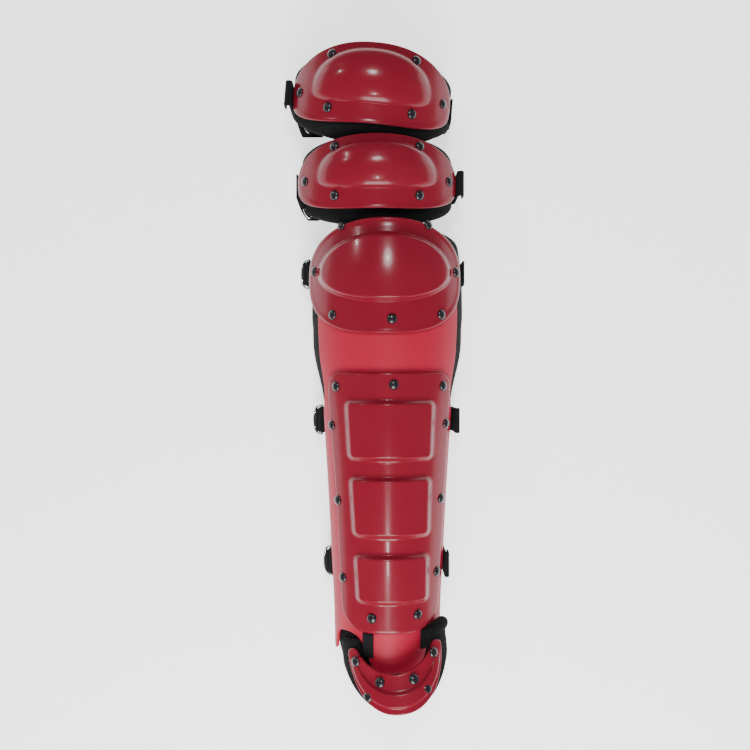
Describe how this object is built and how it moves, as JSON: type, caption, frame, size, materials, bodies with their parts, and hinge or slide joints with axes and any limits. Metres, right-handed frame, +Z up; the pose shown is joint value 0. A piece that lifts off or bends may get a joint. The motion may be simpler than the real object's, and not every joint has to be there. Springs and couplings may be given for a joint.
{
  "type": "catcher leg guard",
  "caption": "Moulded leg guard for a baseball catcher: knee caps that step down onto a shin plate and foot plate, with padding and rear straps, lying on its back",
  "frame": {"origin": "Centre of the bottom face of the overall bounding box: under the middle of the guard, on the surface that its straps rest on", "axes": "+Z is up, out of the front of the guard; +Y runs up the leg to the thigh; +X is to the right as the guard is seen from the front"},
  "size_m": [0.178, 0.636, 0.1096],
  "materials": {
    "gloss_plate": "dark red moulded plastic, glossy",
    "satin_shell": "lighter red plastic with a fine satin grain",
    "padding": "black knitted cover over foam, bound at its edges",
    "webbing": "black woven webbing",
    "rivets": "black enamelled domed rivet heads",
    "chrome_wire": "bright chromed wire"
  },
  "bodies": {
    "root": {"backing_middle": "satin_shell", "cap_lower": "gloss_plate", "cap_middle": "gloss_plate", "cap_upper": "gloss_plate", "foot_pad": "padding", "foot_plate": "gloss_plate", "foot_webbing_left": "webbing", "foot_webbing_right": "webbing", "liner": "padding", "pad_middle": "padding", "pad_upper": "padding", "ring_ankle": "chrome_wire", "ring_calf": "chrome_wire", "ring_knee": "chrome_wire", "rivet_cap_lower_1": "rivets", "rivet_cap_lower_2": "rivets", "rivet_cap_lower_3": "rivets", "rivet_cap_lower_4": "rivets", "rivet_cap_lower_5": "rivets", "rivet_cap_lower_6": "rivets", "rivet_cap_lower_7": "rivets", "rivet_cap_middle_1": "rivets", "rivet_cap_middle_2": "rivets", "rivet_cap_middle_3": "rivets", "rivet_cap_middle_4": "rivets", "rivet_cap_middle_5": "rivets", "rivet_cap_middle_6": "rivets", "rivet_cap_upper_1": "rivets", "rivet_cap_upper_2": "rivets", "rivet_cap_upper_3": "rivets", "rivet_cap_upper_4": "rivets", "rivet_cap_upper_5": "rivets", "rivet_cap_upper_6": "rivets", "rivet_foot_plate_1": "rivets", "rivet_foot_plate_2": "rivets", "rivet_foot_plate_3": "rivets", "rivet_foot_plate_4": "rivets", "rivet_foot_plate_5": "rivets", "rivet_foot_plate_6": "rivets", "rivet_shin_plate_1": "rivets", "rivet_shin_plate_10": "rivets", "rivet_shin_plate_11": "rivets", "rivet_shin_plate_2": "rivets", "rivet_shin_plate_3": "rivets", "rivet_shin_plate_4": "rivets", "rivet_shin_plate_5": "rivets", "rivet_shin_plate_6": "rivets", "rivet_shin_plate_7": "rivets", "rivet_shin_plate_8": "rivets", "rivet_shin_plate_9": "rivets", "shin_plate": "gloss_plate", "shin_shell": "satin_shell", "strap_ankle": "webbing", "strap_calf": "webbing", "strap_knee": "webbing", "strap_middle": "webbing", "strap_upper": "webbing", "tab_ankle": "webbing", "tab_calf": "webbing", "tab_knee": "webbing"}
  },
  "joints": []
}
